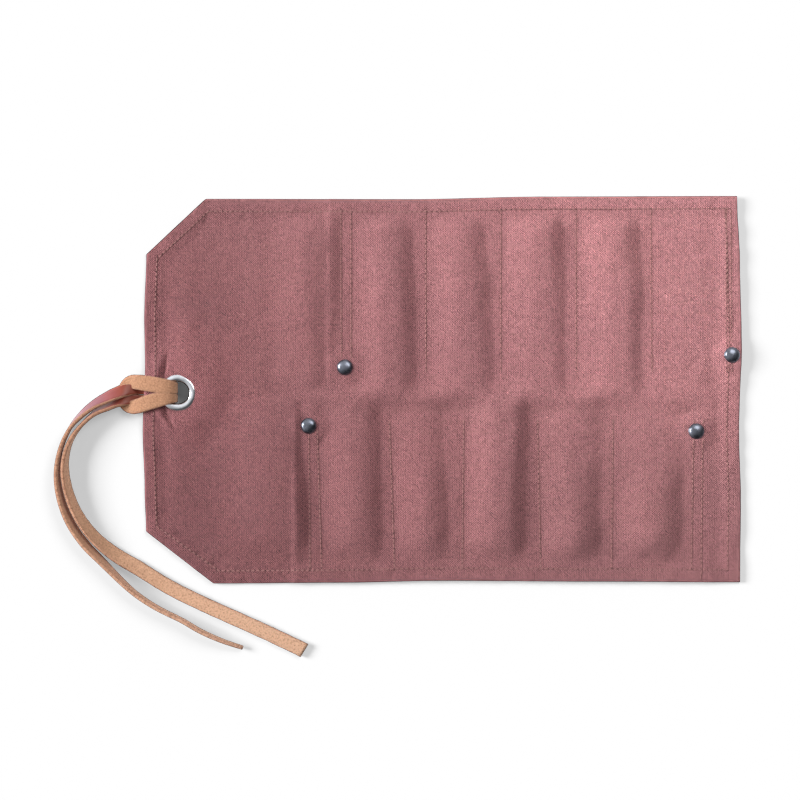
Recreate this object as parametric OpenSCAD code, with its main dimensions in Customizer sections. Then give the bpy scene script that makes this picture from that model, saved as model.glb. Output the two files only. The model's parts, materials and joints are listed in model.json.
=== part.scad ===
// Roll-up pencil case in waxed canvas, unrolled, with its outside face up.
// X runs from the eyelet end to the straight end, Y across the two pocket rows, Z up.
// The pockets hang under the panel and everything rests on z = 0.
// The panel is cut into columns that hinge on each other, so that it rolls up pockets inside.

/* [Panel] */
// Length of the panel, along X
panel_l = 337; // [330:1:345]
// Height of the panel, along Y
panel_h = 218; // [214:1:224]
// Length of the two cut corners along X
corner_x = [34, 38.5];
// Length of the two cut corners along Y
corner_y = [31.5, 28];
// Thickness of one layer of canvas
canvas_t = 0.8; // [0.6:0.1:1]
// Width of the sewn hem
hem_w = 7; // [6:0.5:7]

/* [Pockets] */
// How far the canvas bulges off the pocket strips between the seams
bulge_h = 5.8; // [5:0.1:6]
// Height of the canvas over the band between the two rows
band_h = 5; // [4.5:0.1:5.5]
// Lower edge of the top pocket row, its mouth
top_mouth = 8.5; // [7:0.5:10]
// Upper edge of the bottom pocket row, its mouth
bottom_mouth = -16; // [-18:0.5:-14]

/* [Rivets] */
// Diameter of the domed cap
rivet_d = 9; // [8:0.5:10]
// Height of the domed cap
rivet_h = 2.2; // [1.8:0.1:2.5]

/* [Eyelet] */
// Outer diameter of the eyelet's flange
eyelet_d = 20; // [18:0.5:21]
// Bore of the eyelet
eyelet_bore = 12.6; // [12.4:0.1:13]

/* [Lace] */
// Thickness of the leather lace
lace_t = 2; // [1.6:0.1:2]

/* [Hidden] */
$fn = 48;
x_left = -panel_l / 2;
x_right = panel_l / 2;
y_edge = panel_h / 2;
gap = 0.3;

// Seams between the pockets, and the outer edges of the two pocket strips
top_seams = [-52, -9.5, 33, 75.5, 118, 160.5];
bottom_seams = [-70, -28.5, 11.5, 54.5, 96, 141];
top_strip = [-59.5, x_right - 1];
bottom_strip = [-79, 149];
strip_y = y_edge - 0.6;

// Fold lines between the columns, from the eyelet end to the straight end
folds = [x_left, -124, -94, -64, -9.5, 33, 75.5, 118, x_right];
first_top_column = 3;
first_bottom_column = 2;

// Resting height of the canvas over a pocket strip
on_strip = canvas_t + 0.05;
// Rivets and the height their back caps lift the canvas by
rivets = [[-55, 12.5], [163, 19.5], [-75.5, -20.5], [143, -23.5]];
rivet_column = [3, 7, 2, 7];
back_h = 1.2;
rivet_lift = 1.35;
post_r = 1.3;
// Eyelet centre and the height of the canvas round it, over the lace
eyelet = [-149, -1.8];
eyelet_lift = 3.05;
washer_z = 2.25;
flange_h = 1.7;
// Height of a hemmed canvas surface over a rivet
hem_at_rivet = [0, canvas_t, 0, 0];

CANVAS = ["canvas_flap_end", "canvas_flap_middle", "canvas_flap_inner", "canvas_column_1",
          "canvas_column_2", "canvas_column_3", "canvas_column_4", "canvas_column_5"];
TOP = [for (i = [1:5]) str("top_pocket_", i)];
BOTTOM = [for (i = [0:5]) str("bottom_pocket_", i)];
CORNERS = ["top_left", "top_right", "bottom_left", "bottom_right"];
CAPS = [for (c = CORNERS) str("rivet_cap_", c)];
BACKS = [for (c = CORNERS) str("rivet_back_", c)];
LACE = ["lace_long_half", "lace_short_half"];

// The lace's route from the middle of its loop, through the eyelet, round the panel's
// edge and out along its tail: x, y, z, then the azimuth and elevation of its width, and the width.
long_route = [
    [-181, -3.2, 1.1, 0, 0, 4],
    [-180.9, -5.2, 1.1, 5, 0, 4],
    [-179.6, -8.3, 1.5, 50, 0, 5],
    [-176, -9.8, 2.9, 78, 0, 6.2],
    [-171, -9.2, 5.3, 88, 0, 7.2],
    [-165, -7.2, 6.8, 95, 0, 7.6],
    [-159.5, -5.8, 7.2, 95, 0, 7],
    [-155, -5.2, 7, 92, 0, 5.6],
    [-151.2, -4.9, 5.4, 90, 0, 4.8],
    [-150.3, -4.8, 2.6, 90, 0, 4.6],
    [-153.4, -4.9, 1.05, 90, 0, 4.2],
    [-162, -5.2, 1.05, 90, 0, 4.2],
    [-170, -5.2, 1.05, 90, 0, 4.2],
    [-174.5, -5.3, 2, 90, 0, 4.4],
    [-179, -5.9, 3.5, 90, -10, 4.8],
    [-183.5, -7.2, 3.9, 95, -40, 6.5],
    [-188, -9.4, 4.1, 105, -62, 7.5],
    [-196.3, -13.6, 4.2, 125, -78, 8],
    [-204, -20.8, 4.2, 139, -85, 8],
    [-209.5, -29, 4.2, 155, -91, 8],
    [-212.4, -39, 4.2, 172, -100, 8],
    [-212.4, -49, 4.2, 184, -108, 8],
    [-209.4, -61.5, 4.1, 200, -115, 8],
    [-203.6, -73.5, 3.8, 211, -123, 8],
    [-195, -84.3, 3.3, 222, -134, 8],
    [-184, -93.3, 2.4, 232, -150, 8],
    [-171.4, -100.9, 1.6, 237, -165, 8],
    [-154, -111.6, 1.15, 241, -177, 8],
    [-132, -122.4, 1.1, 245, -180, 8],
    [-102.5, -135.6, 1.1, 246, -180, 8],
    [-78, -147.2, 1.1, 245, -180, 8.2]
];
short_route = [
    [-181, -2.8, 1.1, 180, 0, 4],
    [-180.9, -0.8, 1.1, 175, 0, 4],
    [-179.2, 2.5, 1.6, 130, 0, 5],
    [-175.6, 4.2, 3.2, 102, 0, 6.2],
    [-170.8, 4, 5.5, 90, 0, 7],
    [-163, 2.9, 7, 86, 0, 7.4],
    [-156, 1.7, 7.3, 86, 0, 7],
    [-151.2, 0.9, 5.8, 90, 0, 6],
    [-150.3, 0.8, 2.8, 90, 0, 5.8],
    [-154, 0.3, 1.1, 90, 0, 5],
    [-162, -0.6, 1.05, 90, 0, 4.2],
    [-170, -0.6, 1.05, 90, 0, 4.4],
    [-174.3, 0, 3, 90, -4, 4.6],
    [-179, -0.6, 5.2, 90, -14, 5.8],
    [-183.5, -2.2, 5.8, 95, -28, 7.4],
    [-188, -4.2, 5.5, 102, -42, 8],
    [-196, -8.4, 4.7, 122, -60, 8],
    [-203.1, -14, 4.3, 132, -72, 8],
    [-209.6, -21.6, 4.2, 145, -83, 8],
    [-214.8, -33, 4.2, 162, -88, 8],
    [-217, -46.5, 4.2, 180, -94, 8],
    [-215.2, -60.5, 4.2, 196, -102, 8],
    [-210, -74.2, 4.2, 210, -109, 8],
    [-201.7, -86.6, 4.2, 223, -110, 8],
    [-191.7, -97, 4.2, 226, -105, 8],
    [-175.5, -112.9, 4.1, 232, -95, 8],
    [-162, -122.3, 4.1, 240, -92, 8],
    [-146.8, -130, 4.1, 244, -90, 8],
    [-136.5, -136, 4, 243, -90, 7.6],
    [-124.7, -141.4, 3.2, 247, -90, 5.6],
    [-112.8, -145.6, 1.6, 250, -90, 2.2]
];

// ---- Shape of the cloth ----

// Smooth step from 0 to 1
function ramp(t) = let (c = max(0, min(1, t))) c * c * (3 - 2 * c);

// Profile of one pocket's bulge: u runs from its left seam to its right seam
function bulge(u) = ramp((u - 0.02) / 0.5) * (1 - ramp((u - 0.52) / 0.4));

// Bulge at x of a row with these seams
function row_bulge(x, seams) =
    x <= seams[0] || x >= seams[len(seams) - 1] ? 0 :
    let (i = max([for (k = [0:len(seams) - 2]) if (x >= seams[k]) k]))
    bulge((x - seams[i]) / (seams[i + 1] - seams[i]));

// 1 over a strip and 0 outside it
function over_strip(x, strip) = ramp((x - strip[0] + 7) / 3.5) * (1 - ramp((x - strip[1] - 3) / 4));

// Height of the cloth over one pocket row
function row_z(x, y, seams, strip) =
    on_strip * over_strip(x, strip)
    + bulge_h * row_bulge(x, seams) * ramp((y_edge - hem_w - 1 - abs(y)) / 14);

// Height of the cloth over the band between the rows
function band_z(x) = band_h * ramp((x + 80) / 30) * (1 - ramp((x - 138) / 28));

// How far a round bump reaches at a distance d from its centre
function bump(d, flat_r, slope) = 1 - ramp((d - flat_r) / slope);

// Height of the cloth's lower face
function cloth_z(x, y) =
    let (
        top = ramp((y - top_mouth + 16) / 13.5),
        bottom = ramp((bottom_mouth + 15 - y) / 12.5),
        rivet = max([for (r = rivets) bump(norm([x, y] - r), 8, 6)])
    )
    top * row_z(x, y, top_seams, top_strip)
    + bottom * row_z(x, y, bottom_seams, bottom_strip)
    + (1 - top - bottom) * band_z(x)
    + rivet_lift * rivet
    + eyelet_lift * bump(norm([x, y] - eyelet), 16, 24);

// Ends of the panel in Y at x, between the cut corners
function y_end(x, side) = y_edge - max(0, corner_y[side] * (1 - (x - x_left) / corner_x[side]));

// Thickness of the cloth, doubled in the hem
function cloth_t(x, y, low, high) =
    let (inset = min(x - x_left, x_right - x, high - y, y - low))
    canvas_t * (2 - ramp((inset - hem_w + 1) / 2));

// Lines across column i, at most 3 mm apart, with the corners' ends among them
function column_lines(i) =
    let (
        a = i == 0 ? folds[i] : folds[i] + gap / 2,
        b = i == 7 ? folds[i + 1] : folds[i + 1] - gap / 2,
        n = ceil((b - a) / 3)
    )
    i == 0
        ? concat([for (k = [0:11]) x_left + k * corner_x[0] / 12], [x_left + corner_x[0]],
                 [x_left + corner_x[1], b - 3, b])
        : [for (k = [0:n]) a + (b - a) * k / n];

// Steps along each line, closer together in the hems
rows = 42;
function row_t(k) = k == 0 ? 0 : k == rows ? 1 : k == 1 ? 0.03 : k == rows - 1 ? 0.97
    : 0.045 + 0.91 * (k - 2) / (rows - 4);

// Closed sheet over a grid of lower and upper points
module sheet(lower, upper) {
    nx = len(lower);
    ny = len(lower[0]);
    n = nx * ny;
    points = concat([for (c = lower) for (p = c) p], [for (c = upper) for (p = c) p]);
    function id(i, j) = i * ny + j;
    faces = concat(
        [for (i = [0:nx - 2]) for (j = [0:ny - 2]) for (f = [[0, 1, 2], [0, 2, 3]])
            let (q = [id(i, j), id(i + 1, j), id(i + 1, j + 1), id(i, j + 1)]) [for (k = f) q[k]]],
        [for (i = [0:nx - 2]) for (j = [0:ny - 2]) for (f = [[2, 1, 0], [3, 2, 0]])
            let (q = [id(i, j), id(i + 1, j), id(i + 1, j + 1), id(i, j + 1)]) [for (k = f) q[k] + n]],
        [for (i = [0:nx - 2]) for (f = [[0, 2, 1], [1, 2, 3]])
            let (q = [id(i, 0), id(i + 1, 0), id(i, 0) + n, id(i + 1, 0) + n]) [for (k = f) q[k]]],
        [for (i = [0:nx - 2]) for (f = [[0, 1, 2], [1, 3, 2]])
            let (q = [id(i, ny - 1), id(i + 1, ny - 1), id(i, ny - 1) + n, id(i + 1, ny - 1) + n])
            [for (k = f) q[k]]],
        [for (j = [0:ny - 2]) for (f = [[0, 1, 2], [1, 3, 2]])
            let (q = [id(0, j), id(0, j + 1), id(0, j) + n, id(0, j + 1) + n]) [for (k = f) q[k]]],
        [for (j = [0:ny - 2]) for (f = [[0, 2, 1], [1, 2, 3]])
            let (q = [id(nx - 1, j), id(nx - 1, j + 1), id(nx - 1, j) + n, id(nx - 1, j + 1) + n])
            [for (k = f) q[k]]]
    );
    polyhedron(points, faces, convexity = 6);
}

// ---- Sub-parts ----

// One column of the outer panel, with the holes for its rivets or the eyelet
module canvas_column(i) {
    lines = column_lines(i);
    grid = [for (x = lines) let (low = -y_end(x, 1), high = y_end(x, 0))
        [for (k = [0:rows]) let (y = low + (high - low) * row_t(k))
            [x, y, cloth_z(x, y), cloth_t(x, y, low, high)]]];
    color("rosybrown")
        difference() {
            sheet([for (c = grid) [for (p = c) [p[0], p[1], p[2]]]],
                  [for (c = grid) [for (p = c) [p[0], p[1], p[2] + p[3]]]]);
            for (k = [0:3])
                if (rivet_column[k] == i)
                    translate([rivets[k][0], rivets[k][1], -1])
                        cylinder(r = post_r + 0.1, h = 9);
            if (i == 0)
                translate([eyelet[0], eyelet[1], -1])
                    cylinder(r = eyelet_bore / 2 + 0.8, h = 12);
        }
}

// One column's piece of a pocket strip, raised and pierced where a rivet holds it
module strip_piece(strip, mouth, edge, i) {
    a = max(strip[0], folds[i] + gap / 2);
    b = i == 7 ? strip[1] : min(strip[1], folds[i + 1] - gap / 2);
    low = min(mouth, edge);
    high = max(mouth, edge);
    held = [for (k = [0:3])
        if (rivet_column[k] == i && rivets[k][1] > low && rivets[k][1] < high) rivets[k]];
    color("indianred")
        intersection() {
            translate([a, low, 0])
                cube([b - a, high - low, 4]);
            union() {
                difference() {
                    translate([a, low, 0])
                        cube([b - a, high - low, canvas_t]);
                    for (r = held)
                        translate([r[0], r[1], -1])
                            cylinder(r = 7.6, h = 3);
                }
                for (r = held)
                    translate([r[0], r[1], 0])
                        rivet_dimple();
            }
        }
}

// Ring of cloth that rises over a rivet's back cap
module rivet_dimple() {
    rise = back_h + 0.05;
    rotate_extrude()
        polygon([[post_r + 0.1, rise], [5, rise], [7.6, 0], [7.7, 0], [7.7, canvas_t], [7.6, canvas_t],
                 [5, rise + canvas_t], [post_r + 0.1, rise + canvas_t]]);
}

module top_pocket(i) strip_piece(top_strip, top_mouth, strip_y, first_top_column + i);

module bottom_pocket(i) strip_piece(bottom_strip, bottom_mouth, -strip_y, first_bottom_column + i);

// Underside of a rivet's cap, on the canvas over the strip and the back cap
function cap_z(k) = on_strip + rivet_lift + canvas_t + hem_at_rivet[k] + 0.1;

// Domed cap with a blind hole for its post
module rivet_cap(k) {
    r = rivet_d / 2;
    dome_r = (r * r + rivet_h * rivet_h) / (2 * rivet_h);
    color("dimgray")
        translate([rivets[k][0], rivets[k][1], cap_z(k)])
            difference() {
                intersection() {
                    translate([0, 0, rivet_h - dome_r])
                        sphere(r = dome_r, $fn = 96);
                    cylinder(r = r, h = rivet_h);
                }
                translate([0, 0, -1])
                    cylinder(r = post_r + 0.05, h = 2);
            }
}

// Flat back cap with the post that the domed cap is set on
module rivet_back(k) {
    color("slategray")
        translate([rivets[k][0], rivets[k][1], 0])
            union() {
                cylinder(r = rivet_d / 2, h = back_h);
                cylinder(r = post_r, h = cap_z(k) + 0.9);
            }
}

// Flange and barrel of the eyelet, with a rounded rim
module eyelet_flange() {
    bore_r = eyelet_bore / 2;
    rim_r = eyelet_d / 2;
    base = eyelet_lift + canvas_t + 0.05;
    color("silver")
        translate([eyelet[0], eyelet[1], 0])
            rotate_extrude($fn = 96)
                polygon(concat(
                    [[bore_r, washer_z], [bore_r + 0.6, washer_z], [bore_r + 0.6, base], [rim_r, base]],
                    [for (a = [0:15:180])
                        [(rim_r + bore_r) / 2 + (rim_r - bore_r) / 2 * cos(a), base + 0.1 + flange_h * sin(a)]]
                ));
}

// Washer that the eyelet is set over, under the canvas
module eyelet_washer() {
    color("gainsboro")
        translate([eyelet[0], eyelet[1], washer_z])
            difference() {
                cylinder(r = eyelet_d / 2, h = eyelet_lift - washer_z - 0.05, $fn = 96);
                translate([0, 0, -1])
                    cylinder(r = eyelet_bore / 2 + 0.65, h = 3, $fn = 96);
            }
}

// Catmull-Rom point between p1 and p2
function spline(p0, p1, p2, p3, t) =
    0.5 * (2 * p1 + (p2 - p0) * t + (2 * p0 - 5 * p1 + 4 * p2 - p3) * t * t
           + (3 * p1 - p0 - 3 * p2 + p3) * t * t * t);

// The route with a point added halfway along each leg
function dense(route) =
    let (n = len(route) - 1)
    concat([for (i = [0:n - 1]) for (t = [0, 0.5])
        spline(route[max(i - 1, 0)], route[i], route[i + 1], route[min(i + 2, n)], t)], [route[n]]);

function unit(v) = v / norm(v);
function xyz(p) = [p[0], p[1], p[2]];

// Outline of the flat lace with small chamfers: offsets along its width and its thickness
function lace_outline(w) =
    let (a = w / 2, b = lace_t / 2, c = 0.5)
    [[a, b - c], [a - c, b], [c - a, b], [-a, b - c], [-a, c - b], [c - a, -b], [a - c, -b], [a, c - b]];

// Flat lace swept along a route
module lace(route) {
    line = dense(route);
    n = len(line) - 1;
    rings = [for (i = [0:n])
        let (
            p = line[i],
            ahead = unit(xyz(line[min(i + 1, n)]) - xyz(line[max(i - 1, 0)])),
            wide = [cos(p[4]) * cos(p[3]), cos(p[4]) * sin(p[3]), sin(p[4])],
            side = unit(wide - (wide * ahead) * ahead),
            up = cross(ahead, side)
        )
        [for (q = lace_outline(p[5])) xyz(p) + q[0] * side + q[1] * up]];
    points = [for (r = rings) for (p = r) p];
    faces = concat(
        [[for (k = [0:7]) k]],
        [[for (k = [7:-1:0]) n * 8 + k]],
        [for (i = [0:n - 1]) for (k = [0:7]) for (f = [[0, 1, 2], [1, 3, 2]])
            let (q = [i * 8 + k, (i + 1) * 8 + k, i * 8 + (k + 1) % 8, (i + 1) * 8 + (k + 1) % 8])
            [for (m = f) q[m]]]
    );
    color("burlywood")
        polyhedron(points, faces, convexity = 8);
}

module lace_long_half() lace(long_route);

module lace_short_half() lace(short_route);

for (i = [0:7])
    canvas_column(i);
for (i = [0:4])
    top_pocket(i);
for (i = [0:5])
    bottom_pocket(i);
for (k = [0:3]) {
    rivet_cap(k);
    rivet_back(k);
}
eyelet_flange();
eyelet_washer();
lace_long_half();
lace_short_half();
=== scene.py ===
import json
import math

import bpy
import numpy as np
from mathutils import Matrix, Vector


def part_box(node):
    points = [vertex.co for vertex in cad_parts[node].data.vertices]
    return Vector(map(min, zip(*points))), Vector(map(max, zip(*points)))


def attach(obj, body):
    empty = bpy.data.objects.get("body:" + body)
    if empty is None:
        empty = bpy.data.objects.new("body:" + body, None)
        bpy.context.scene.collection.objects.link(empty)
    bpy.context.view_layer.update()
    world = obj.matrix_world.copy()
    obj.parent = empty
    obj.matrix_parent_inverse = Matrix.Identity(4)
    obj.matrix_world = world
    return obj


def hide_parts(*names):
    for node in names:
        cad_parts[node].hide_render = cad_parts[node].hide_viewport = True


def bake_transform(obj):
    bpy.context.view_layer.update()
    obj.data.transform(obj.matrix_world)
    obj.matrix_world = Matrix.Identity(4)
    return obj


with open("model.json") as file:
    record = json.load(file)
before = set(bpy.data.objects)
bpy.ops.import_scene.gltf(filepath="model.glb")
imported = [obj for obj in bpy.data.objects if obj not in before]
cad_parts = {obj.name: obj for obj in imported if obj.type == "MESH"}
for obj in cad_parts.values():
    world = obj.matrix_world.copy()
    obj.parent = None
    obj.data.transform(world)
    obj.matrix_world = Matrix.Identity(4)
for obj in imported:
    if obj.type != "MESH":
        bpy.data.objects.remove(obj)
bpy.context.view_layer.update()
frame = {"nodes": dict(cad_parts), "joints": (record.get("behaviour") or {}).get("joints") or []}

MM = 0.001

# ---- The frame: bodies in rolling order, fold lines, and sizes in millimetres ----

FOLDS = [j["pos_m"][0] / MM for j in frame["joints"] if j["name"].startswith("roll")]
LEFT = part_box("canvas_flap_end")[0].x / MM
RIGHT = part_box("canvas_column_5")[1].x / MM
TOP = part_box("canvas_column_1")[1].y / MM
TOP_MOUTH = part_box("top_pocket_2")[0].y / MM
BOTTOM_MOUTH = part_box("bottom_pocket_2")[1].y / MM
TOP_STRIP = (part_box("top_pocket_1")[0].x / MM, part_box("top_pocket_5")[1].x / MM)
BOTTOM_STRIP = (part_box("bottom_pocket_0")[0].x / MM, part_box("bottom_pocket_5")[1].x / MM)
CORNERS = ["top_left", "top_right", "bottom_left", "bottom_right"]
RIVET_BODY = dict(zip(CORNERS, ["column_1", "column_5", "flap_inner", "column_5"]))


def middle(node):
    """Centre of a CAD node in X and Y, in millimetres."""
    low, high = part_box(node)
    return np.array([(low.x + high.x) / 2, (low.y + high.y) / 2]) / MM


RIVETS = {c: middle("rivet_cap_" + c) for c in CORNERS}
EYELET = middle("eyelet_flange")
CLOTH_T = 0.8
HEM_T = 1.7
HEM_W = 7.0

# Seams between the pockets: x at the mouth and x at the pocket's closed end
TOP_SEAMS = [(-51.5, -51.5), (-9.3, -9.5), (33, 33), (75.5, 75.3), (118, 117.6), (160, 160)]
BOTTOM_SEAMS = [(-70.8, -68), (-30, -26.8), (12, 11), (53.6, 55.4), (96.2, 95.2), (141.6, 140.2)]
# Outer rows of the double seams at both ends of each strip
OUTER_TOP = [(-57, -57.3), (162.9, 162.5)]
OUTER_BOTTOM = [(-75.4, -74.6), (146.8, 145.9)]
# All seams of a row, its mouth, and the side of the panel that it is on
SEAM_ROWS = (
    (TOP_SEAMS + OUTER_TOP, TOP_MOUTH, 1),
    (BOTTOM_SEAMS + OUTER_BOTTOM, BOTTOM_MOUTH, -1),
)
# Length of a seam from the mouth to the closed end
ROW_DEPTH = 92
# Each bulge, from left to right: the width of its steep right side, then at the mouth, half way
# and the closed end its height and where that side is. The first is loose cloth beside the row.
TOP_BULGES = [
    (22, (3, 4.2, 3.6), (-64, -61.4, -60)), (15, (4, 4.8, 3.6), (-17.2, -18.6, -19.7)),
    (16, (3.2, 4.4, 3.4), (26, 23.6, 21.6)), (13, (2.2, 3.2, 4.8), (67, 66.3, 65.8)),
    (14, (3.2, 4, 4.6), (109.4, 110.4, 108.7)), (16, (0.6, 0.8, 0.6), (150, 152, 150)),
]
BOTTOM_BULGES = [
    (10, (3.4, 3.6, 2.8), (-81.6, -79, -77.8)), (14, (3.4, 4.2, 3.2), (-37.6, -37.4, -36.8)),
    (14, (1.8, 3.3, 3.7), (-2, 0.4, 1.2)), (12, (4.6, 5.2, 4.8), (45.5, 43.6, 44.5)),
    (19, (2, 3.4, 5.6), (86.4, 86, 86)), (18, (1.4, 4, 5.4), (133.5, 132.5, 131)),
]
# Where the loose cloth beside each row starts to rise, and the width of that rise
SWELL_TOP = (-99, 24)
SWELL_BOTTOM = (-128, 40)

# ---- Camera ----

CAMERA_AT = (-24.0, -5.9, 1255.0)


def add_camera():
    data = bpy.data.cameras.new("camera")
    data.lens = 100
    data.sensor_width = 36
    data.clip_start = 0.01
    data.clip_end = 20
    camera = bpy.data.objects.new("camera", data)
    camera.location = Vector(CAMERA_AT) * MM
    bpy.context.scene.collection.objects.link(camera)
    bpy.context.scene.camera = camera


add_camera()

# ---- Numbers that vary smoothly ----


def ramp(t):
    c = np.clip(t, 0, 1)
    return c * c * (3 - 2 * c)


def waves(x, y, size, seed, count=9):
    """Smooth noise from -1 to 1 with features about size millimetres across."""
    rng = np.random.default_rng(seed)
    total = np.zeros(np.broadcast(x, y).shape)
    for _ in range(count):
        a = rng.uniform(0, 2 * math.pi)
        k = 2 * math.pi / (size * rng.uniform(0.7, 1.6))
        total += np.sin(k * (x * math.cos(a) + y * math.sin(a)) + rng.uniform(0, 2 * math.pi))
    return total / math.sqrt(count * 2)


def eased(x, points):
    """Value at x of a smooth line through the points, flat past its ends."""
    px = np.array([p[0] for p in points], float)
    py = np.array([p[1] for p in points], float)
    i = np.clip(np.searchsorted(px, x) - 1, 0, len(px) - 2)
    t = ramp((x - px[i]) / (px[i + 1] - px[i]))
    return py[i] * (1 - t) + py[i + 1] * t


# ---- Shape of the cloth ----

# The edges wander a little: y at x along the top and bottom, x at y along the sides
EDGE_TOP = [(-134, 107.5), (-20, 107.2), (60, 108.7), (168, 109)]
EDGE_BOTTOM = [(-130, -109.3), (-60, -108.8), (0, -107.7), (90, -108.2), (168, -108.6)]
EDGE_LEFT = [(-81, -167.2), (-55, -168), (-25, -169), (10, -167.6), (40, -168.2), (78, -167)]
EDGE_RIGHT = [(-109, 167.8), (-60, 168.2), (-25, 167.2), (30, 168.5), (70, 167.6), (109, 166)]
# The two cut corners, from the left edge to the long edge
CUT_TOP = ((-167, 77.5), (-134.5, 107.6))
CUT_BOTTOM = ((-167, -81), (-130, -109.3))


def y_end(x, edge, cut):
    """Edge of the panel in Y at x, with its cut corner."""
    (x0, y0), (x1, y1) = cut
    on_cut = y0 + (y1 - y0) * (x - x0) / (x1 - x0)
    y = eased(x, edge)
    return np.minimum(y, on_cut) if y1 > 0 else np.maximum(y, on_cut)


def seam_x(seam, y, mouth):
    """x of a slightly slanted seam at y, from the mouth to the closed end."""
    return seam[0] + (seam[1] - seam[0]) * np.clip(abs(y - mouth) / ROW_DEPTH, 0, 1)


def steep_side(t):
    """From 1 down to 0: it bends away slowly and ends in a crease."""
    steps = np.linspace(0, 1, 101)
    slope = ramp(steps / 0.8) * (1 - ramp((steps - 0.84) / 0.16))
    return 1 - np.interp(t, steps, np.cumsum(slope) / slope.sum())


def row_bulges(x, y, bulges, seams, swell, mouth):
    """Heights of the bulges of one row: a gentle rise from the seam, then a steep fall."""
    depth = np.clip(abs(y - mouth) / ROW_DEPTH, 0, 1)
    z = np.zeros(x.shape)
    for k, (width, heights, falls) in enumerate(bulges):
        height, fall = (eased(depth, list(zip((0.15, 0.5, 0.85), v))) for v in (heights, falls))
        if k:
            start = seam_x(seams[k - 1], y, mouth) + 0.5
            rise = 0.6 * (falls[1] - seams[k - 1][0])
        else:
            start, rise = swell
        fall = fall + 0.6 * waves(y, 0 * y + 50 * k, 34, 11)
        width = width * (1 + 0.2 * waves(y, 0 * y + 90 * k, 60, 12))
        here = height * ramp((x - start) / rise) * steep_side((x - fall) / width + 0.75)
        z = np.maximum(z, here)
    return z


def over_strip(x, strip):
    return ramp((x - strip[0] + 7) / 3.5) * (1 - ramp((x - strip[1] + 2) / 14))


def near_pin(x, y, centre, flat, slope):
    return 1 - ramp((np.hypot(x - centre[0], y - centre[1]) - flat) / slope)


# Heights of the cloth over a strip, of the loose band between the rows, and of the rises
# over a rivet's back and over the lace at the eyelet
ON_STRIP = 0.85
BAND = 4.6
RIVET_RISE = 1.35
EYELET_RISE = 3.05


def cloth_low(x, y):
    """Height of the outer panel's lower face."""
    closed = ramp((TOP - HEM_W - 1 - abs(y)) / np.where(y > 0, 12, 19))
    top_w = ramp((y - TOP_MOUTH + 16) / 13.5)
    bottom_w = ramp((BOTTOM_MOUTH + 15 - y) / 12.5)
    top = ON_STRIP * over_strip(x, TOP_STRIP)
    top = top + closed * row_bulges(x, y, TOP_BULGES, TOP_SEAMS, SWELL_TOP, TOP_MOUTH)
    bottom = ON_STRIP * over_strip(x, BOTTOM_STRIP)
    bottom = bottom + closed * row_bulges(x, y, BOTTOM_BULGES, BOTTOM_SEAMS, SWELL_BOTTOM, BOTTOM_MOUTH)
    band = BAND * ramp((x + 92) / 34) * (1 - ramp((x - 120) / 44)) + 0.7 * waves(x, y, 60, 5)
    z = top_w * top + bottom_w * bottom + (1 - top_w - bottom_w) * np.maximum(band, 0.3)
    for c in CORNERS:
        z = z + RIVET_RISE * near_pin(x, y, RIVETS[c], 6, 7)
    z = z + EYELET_RISE * near_pin(x, y, EYELET, 14, 22)
    flap = 1 - ramp((x + 110) / 40)
    inside = ramp((TOP - HEM_W - abs(y)) / 30) * ramp((x - LEFT - 8) / 20)
    z = z + flap * (0.9 + 0.9 * waves(x, y, 75, 3)) * inside
    crumple = 0.12 * (waves(x, y, 16, 8) + waves(x, y, 9, 9)) * ramp((TOP - 4 - abs(y)) / 8)
    return z + puckers(x, y) + crumple


def puckers(x, y):
    """Creases that run away from the eyelet, just inside the left hem."""
    z = np.zeros(x.shape)
    for side, slant, reach in ((1, 0.22, 16), (-1, 0.6, 14)):
        away = side * (y - EYELET[1]) - 8.5
        crease_x = -157.9 + slant * np.clip(away, 0, 40)
        fade = ramp((away + 4) / 4) * (1 - ramp((away - 3) / reach))
        ridge = 0.9 * np.exp(-(((x - crease_x + 3) / 2.2) ** 2))
        crease = 1.4 * np.exp(-(((x - crease_x) / 1.3) ** 2))
        z += fade * (ridge - crease)
    return z


def inset_from_edge(x, y, low, high):
    """Distance from the panel's nearest edge."""
    slope_low = np.where(x < CUT_BOTTOM[1][0], 0.8, 1.0)
    slope_high = np.where(x < CUT_TOP[1][0], 0.73, 1.0)
    left = x - eased(y, EDGE_LEFT)
    right = eased(y, EDGE_RIGHT) - x
    return np.minimum(np.minimum(left, right), np.minimum((y - low) * slope_low, (high - y) * slope_high))


def seam_groove(x, y, inset):
    """How deep the seams pull the cloth down."""
    z = np.exp(-(((inset - HEM_W) / 0.8) ** 2))
    for seams, mouth, side in SEAM_ROWS:
        along = ramp(((y - mouth) * side + 1) / 2)
        for seam in seams:
            z = np.maximum(z, along * np.exp(-(((x - seam_x(seam, y, mouth)) / 0.8) ** 2)))
    return z


def cloth_faces(x, y):
    """Heights of the outer panel's upper and lower faces, and how worn it is."""
    low = y_end(x, EDGE_BOTTOM, CUT_BOTTOM)
    high = y_end(x, EDGE_TOP, CUT_TOP)
    inset = np.maximum(inset_from_edge(x, y, low, high), 0)
    raised = (HEM_T - CLOTH_T) * (1 - ramp((inset - HEM_W + 1) / 7))
    thick = CLOTH_T + (HEM_T - CLOTH_T) * (1 - ramp((inset - HEM_W) / 0.8))
    round_r = thick / 2
    half = round_r * np.sqrt(np.clip(1 - (1 - np.minimum(inset, round_r) / round_r) ** 2, 0, 1))
    ripple = 0.3 * waves(x, y, 13, 21) * (1 - ramp((inset - 4) / 5))
    mid = cloth_low(x, y) + CLOTH_T + raised - thick / 2 + ripple + 0.25
    groove = 0.11 * seam_groove(x, y, inset)
    return mid + half - groove, mid - half, inset


# ---- Meshes ----


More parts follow.
